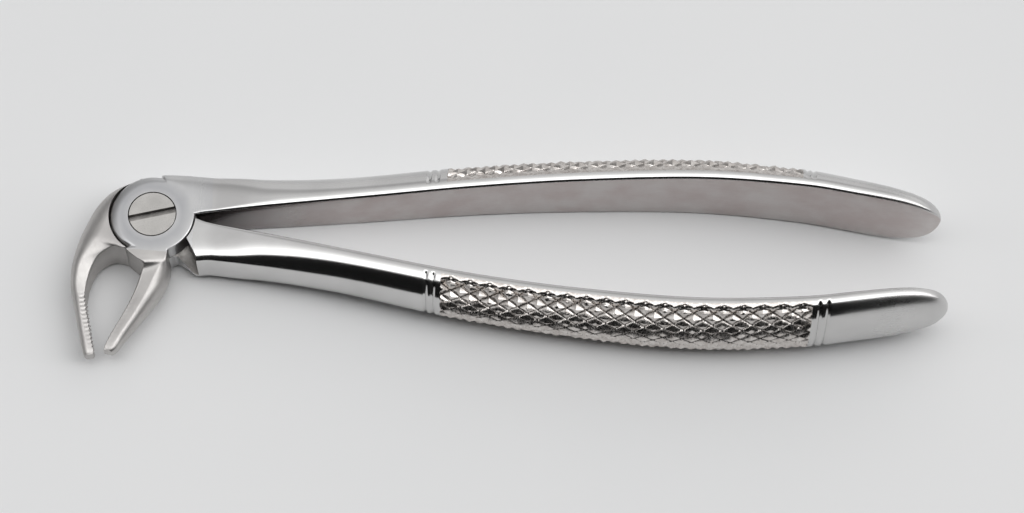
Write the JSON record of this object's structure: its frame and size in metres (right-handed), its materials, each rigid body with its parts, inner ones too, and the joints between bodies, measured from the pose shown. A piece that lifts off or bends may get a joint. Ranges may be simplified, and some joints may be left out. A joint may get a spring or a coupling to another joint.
{
  "type": "extraction forceps",
  "caption": "Dental extraction forceps: two forged steel halves crossing in a screwed lap joint, beaks bent across the handles to grip lower teeth, knurled handles.",
  "frame": {"origin": "on the screw's axis, at the flat end of the screw, which lies flush with the joint's rear face", "axes": "+Z along the screw's axis towards its slotted head, +X along the middle line between the closed handles towards their ends, +Y towards the front half's handle; the beaks point along -Y"},
  "size_m": [0.1645, 0.0466, 0.0174],
  "materials": {
    "polished_steel": "forged stainless steel, polished, with satin-brushed insides and cut knurling on the handles",
    "satin_steel": "turned stainless steel screw, satin face with fine circular marks, dark slot"
  },
  "bodies": {
    "rear_body": {"rear_half": "polished_steel", "joint_screw": "satin_steel"},
    "front_body": {"front_half": "polished_steel"}
  },
  "joints": [
    {"name": "screw_pivot", "type": "hinge", "parent": "rear_body", "child": "front_body", "pos_m": [0, 0, 0.0045], "axis": [0, 0, 1], "range_deg": [-1.2, 12]}
  ]
}
